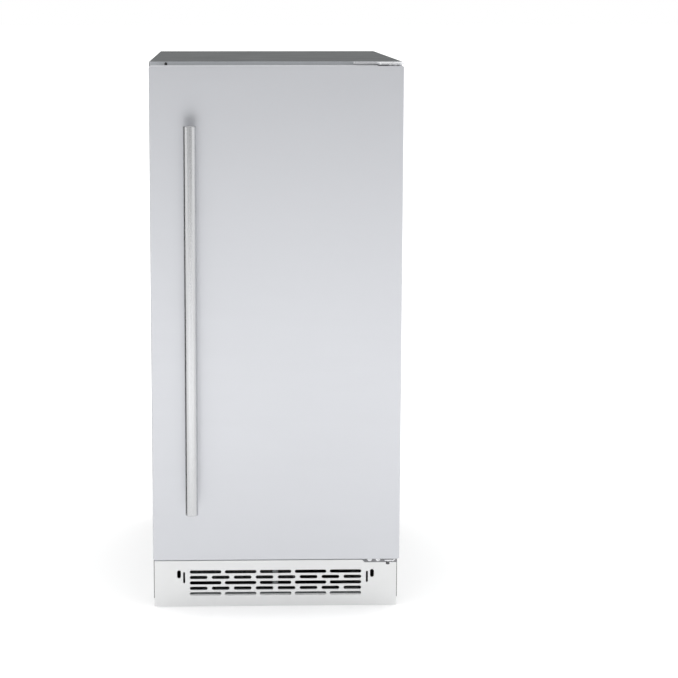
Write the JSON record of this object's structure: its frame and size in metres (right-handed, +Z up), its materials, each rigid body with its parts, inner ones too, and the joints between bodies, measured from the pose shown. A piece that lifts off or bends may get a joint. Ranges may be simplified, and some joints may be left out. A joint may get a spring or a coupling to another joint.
{
  "type": "undercounter ice maker",
  "caption": "Undercounter ice maker: dark cabinet, full stainless door with bar handle and exposed end hinges, slotted toe grille, ice bin, grid evaporator and machine compartment.",
  "frame": {"origin": "on the floor at the centre of the overall footprint, from the handle's front to the cabinet's back", "axes": "+X to the right seen from the front, +Y from the door to the back, +Z up"},
  "size_m": [0.378, 0.6595, 0.845],
  "materials": {
    "cabinet_paint": "satin dark grey",
    "frame_paint": "satin mid grey",
    "galvanised": "matt zinc grey",
    "zinc": "bright zinc plate",
    "dark_zinc": "grey zinc plate",
    "stainless": "fine level brush",
    "stainless_light": "fine level brush",
    "stainless_bar": "fine polish",
    "foam": "pale yellow foam",
    "liner_plastic": "satin white",
    "housing_plastic": "satin pale grey",
    "pale_plastic": "satin white",
    "dark_plastic": "matt black",
    "leg_plastic": "matt black",
    "button_plastic": "gloss black",
    "scoop_plastic": "satin blue",
    "clear_plastic": "clear",
    "clear_hose": "milky clear",
    "dark_glass": "gloss black",
    "nickel": "satin nickel",
    "copper": "bright copper",
    "brass": "satin brass",
    "black_steel": "gloss black",
    "dark_metal": "matt",
    "fin_aluminium": "plain",
    "rubber": "matt",
    "gasket": "soft grey"
  },
  "bodies": {
    "cabinet": {"top_panel": "cabinet_paint", "left_side_panel": "cabinet_paint", "right_side_panel": "cabinet_paint", "rear_panel": "galvanised", "rear_access_cover": "galvanised", "panel_screws": "zinc", "base_pan": "galvanised", "cabinet_insulation": "foam", "inner_liner": "liner_plastic", "front_frame": "frame_paint", "hinge_hole_plug": "dark_plastic", "top_hinge_bracket": "zinc", "bottom_hinge_bracket": "dark_zinc", "hinge_pins": "dark_metal", "toe_grille": "stainless_light", "ice_retainer": "clear_plastic", "control_housing": "housing_plastic", "display_window": "dark_glass", "light_lens": "clear_plastic", "evaporator_grid": "nickel", "evaporator_coil": "copper", "evaporator_frame": "housing_plastic", "water_distributor": "pale_plastic", "water_trough": "pale_plastic", "ice_chute": "pale_plastic", "water_pump": "dark_plastic", "pump_hose": "clear_hose", "float_stem": "dark_plastic", "bin_sensor": "copper", "compressor": "black_steel", "compressor_mounts": "rubber", "condenser": "fin_aluminium", "fan_shroud": "dark_plastic", "fan_motor": "dark_metal", "filter_drier": "copper", "hot_gas_valve": "brass", "refrigerant_lines": "copper", "water_inlet_valve": "brass", "water_inlet_tube": "pale_plastic", "drain_pipe": "pale_plastic", "cord_gland": "dark_plastic"},
    "door": {"door_skin": "stainless", "door_insulation": "foam", "door_liner": "liner_plastic", "door_gasket": "gasket", "handle_bar": "stainless_bar", "handle_posts": "stainless_bar", "hinge_bushes": "pale_plastic"},
    "splash_curtain": {"splash_curtain": "pale_plastic"},
    "condenser_fan": {"condenser_fan": "dark_plastic"},
    "level_float": {"level_float": "dark_plastic"},
    "ice_scoop": {"ice_scoop": "scoop_plastic"},
    "pump_impeller": {"pump_impeller": "pale_plastic"},
    "power_button": {"power_button": "button_plastic"},
    "light_button": {"light_button": "button_plastic"},
    "clean_button": {"clean_button": "button_plastic"},
    "leg_front_left": {"leg_front_left": "leg_plastic"},
    "leg_front_right": {"leg_front_right": "leg_plastic"},
    "leg_rear_left": {"leg_rear_left": "leg_plastic"},
    "leg_rear_right": {"leg_rear_right": "leg_plastic"}
  },
  "joints": [
    {"name": "door_hinge", "type": "hinge", "parent": "cabinet", "child": "door", "pos_m": [0.172, -0.26025, 0], "axis": [0, 0, 1], "range_deg": [0, 110]},
    {"name": "power_press", "type": "slide", "parent": "cabinet", "child": "power_button", "axis": [0, 1, 0], "range_m": [0, 0.0015], "stiffness_N_per_m": 500, "springref_m": -0.001},
    {"name": "light_press", "type": "slide", "parent": "cabinet", "child": "light_button", "axis": [0, 1, 0], "range_m": [0, 0.0015], "stiffness_N_per_m": 500, "springref_m": -0.001},
    {"name": "clean_press", "type": "slide", "parent": "cabinet", "child": "clean_button", "axis": [0, 1, 0], "range_m": [0, 0.0015], "stiffness_N_per_m": 500, "springref_m": -0.001},
    {"name": "curtain_pivot", "type": "hinge", "parent": "cabinet", "child": "splash_curtain", "pos_m": [0, 0.082, 0.768], "axis": [-1, 0, 0], "range_deg": [0, 40]},
    {"name": "fan_spin", "type": "hinge", "parent": "cabinet", "child": "condenser_fan", "pos_m": [-0.06, -0.138, 0.098], "axis": [0, 1, 0], "continuous": true},
    {"name": "impeller_spin", "type": "hinge", "parent": "cabinet", "child": "pump_impeller", "pos_m": [0.095, 0.21, 0.517], "axis": [0, 0, 1], "continuous": true},
    {"name": "float_rise", "type": "slide", "parent": "cabinet", "child": "level_float", "axis": [0, 0, 1], "range_m": [0, 0.015]},
    {"name": "scoop_lift", "type": "slide", "parent": "cabinet", "child": "ice_scoop", "axis": [0, 0, 1], "range_m": [0, 0.034]},
    {"name": "front_left_level", "type": "slide", "parent": "cabinet", "child": "leg_front_left", "axis": [0, 0, -1], "range_m": [0, 0.02]},
    {"name": "front_right_level", "type": "slide", "parent": "cabinet", "child": "leg_front_right", "axis": [0, 0, -1], "range_m": [0, 0.02]},
    {"name": "rear_left_level", "type": "slide", "parent": "cabinet", "child": "leg_rear_left", "axis": [0, 0, -1], "range_m": [0, 0.02]},
    {"name": "rear_right_level", "type": "slide", "parent": "cabinet", "child": "leg_rear_right", "axis": [0, 0, -1], "range_m": [0, 0.02]}
  ]
}
